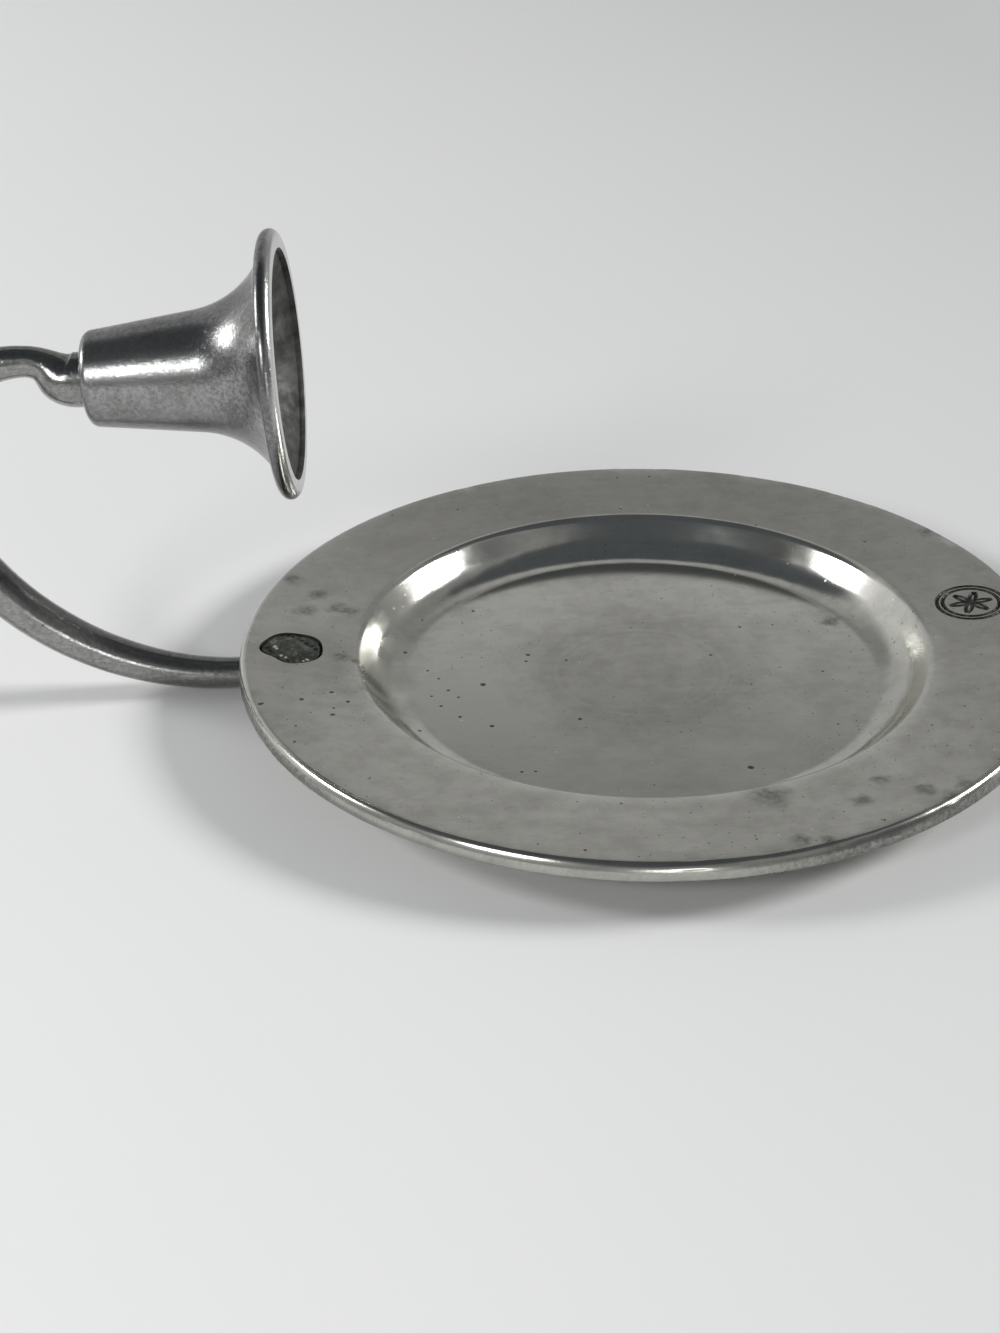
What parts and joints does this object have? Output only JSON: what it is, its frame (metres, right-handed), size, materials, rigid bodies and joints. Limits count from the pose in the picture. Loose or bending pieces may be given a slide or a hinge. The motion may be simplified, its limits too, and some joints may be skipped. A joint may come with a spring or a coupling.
{
  "type": "wall candle sconce",
  "caption": "Pewter candle sconce: a dished round wall plate, a C-shaped tapered arm riveted under its rim and a flared trumpet-shaped candle cup, with a hanging ring on the back.",
  "frame": {"origin": "centre of the plate's flat back face, which lies on the table or against the wall", "axes": "+Z out of the plate's face, -X toward the arm and candle cup (down when it hangs), +X toward the hanging ring (up when it hangs)"},
  "size_m": [0.3325, 0.24, 0.14],
  "materials": {
    "plate_pewter": "satin turned pewter with pits and dark stains",
    "arm_pewter": "polished cast pewter",
    "rivet_dark_metal": "dark, unpolished",
    "cup_pewter": "polished pewter with pits",
    "screw_steel": "plain steel",
    "lug_pewter": "as cast",
    "ring_brass_wire": "aged drawn wire"
  },
  "bodies": {
    "sconce": {"wall_plate": "plate_pewter", "arm": "arm_pewter", "arm_rivet": "rivet_dark_metal", "candle_cup": "cup_pewter", "cup_screw": "screw_steel", "hanger_lug": "lug_pewter"},
    "ring": {"hanger_ring": "ring_brass_wire"}
  },
  "joints": [
    {"name": "ring_swing", "type": "hinge", "parent": "sconce", "child": "ring", "pos_m": [0.10134, 0, 0.00668], "axis": [0, 1, 0], "range_deg": [-27, 156]}
  ]
}
